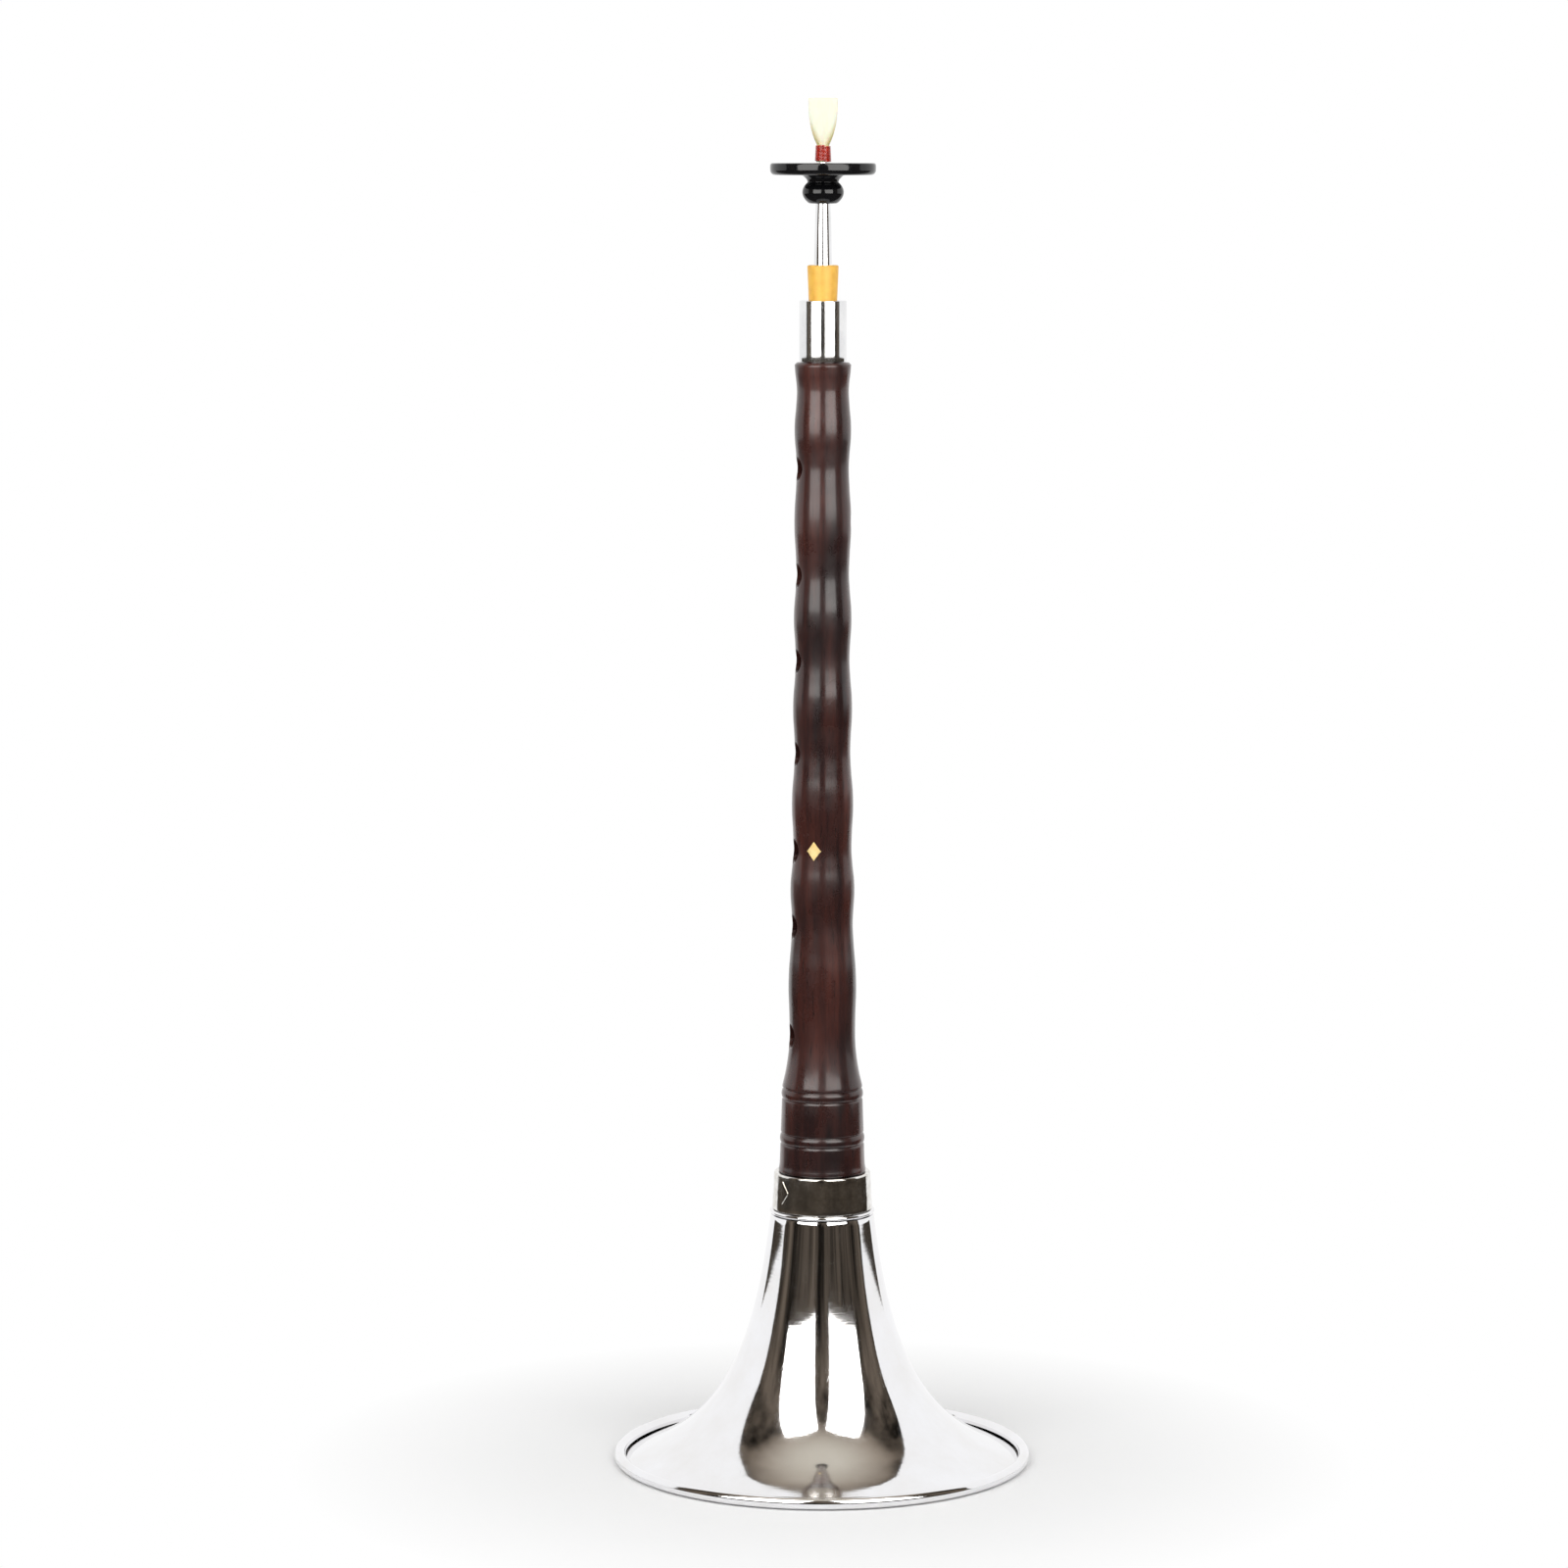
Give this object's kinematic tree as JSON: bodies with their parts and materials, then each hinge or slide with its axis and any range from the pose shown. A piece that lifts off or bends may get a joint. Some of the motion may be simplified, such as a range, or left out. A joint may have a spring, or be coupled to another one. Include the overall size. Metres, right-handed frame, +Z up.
{
  "type": "suona",
  "caption": "Double-reed horn: wavy turned pipe with finger holes, flared metal bell with a rolled rim, and a sliding core that carries a staple, lip disc and reed.",
  "frame": {"origin": "centre of the bell rim's flat land, on the surface that the horn stands on", "axes": "+Z up along the bore from bell to reed; -Y towards the finger holes; +Y towards the thumb hole"},
  "size_m": [0.125, 0.125, 0.4062],
  "materials": {
    "bell_nickel": "polished nickel plate on spun brass",
    "band_nickel": "nickel plate, lightly scratched",
    "rim_iron": "plain drawn wire",
    "cork": null,
    "rosewood": "dark red-brown wood, satin polish",
    "ferrule_steel": "turned and polished along its length",
    "plug_yellow": "satin, slightly mottled",
    "staple_chrome": "bright",
    "disc_black": "high gloss black",
    "reed_cane": "scraped pale cane",
    "binding_enamel": "glossy red enamelled copper wire"
  },
  "bodies": {
    "bell": {"bell_shell": "bell_nickel", "rim_wire": "rim_iron", "neck_ring": "bell_nickel", "neck_band": "band_nickel"},
    "cork": {"tenon_cork": "cork"},
    "pipe": {"pipe": "rosewood", "ferrule": "ferrule_steel"},
    "plug": {"core_plug": "plug_yellow"},
    "staple": {"staple": "staple_chrome"},
    "disc": {"lip_disc": "disc_black"},
    "reed": {"reed": "reed_cane", "reed_binding": "binding_enamel"}
  },
  "joints": [
    {"name": "bell_pull", "type": "slide", "parent": "bell", "child": "cork", "axis": [0, 0, 1], "range_m": [0, 0.018]},
    {"name": "bell_turn", "type": "hinge", "parent": "cork", "child": "pipe", "pos_m": [0, 0, 0.0883], "axis": [0, 0, 1], "continuous": true},
    {"name": "core_slide", "type": "slide", "parent": "pipe", "child": "plug", "axis": [0, 0, 1], "range_m": [-0.004, 0.02]},
    {"name": "core_turn", "type": "hinge", "parent": "plug", "child": "staple", "pos_m": [0, 0, 0.3576], "axis": [0, 0, 1], "continuous": true},
    {"name": "disc_turn", "type": "hinge", "parent": "staple", "child": "disc", "pos_m": [0, 0, 0.3756], "axis": [0, 0, 1], "continuous": true},
    {"name": "reed_pull", "type": "slide", "parent": "staple", "child": "reed", "axis": [0, 0, 1], "range_m": [0, 0.009]}
  ]
}
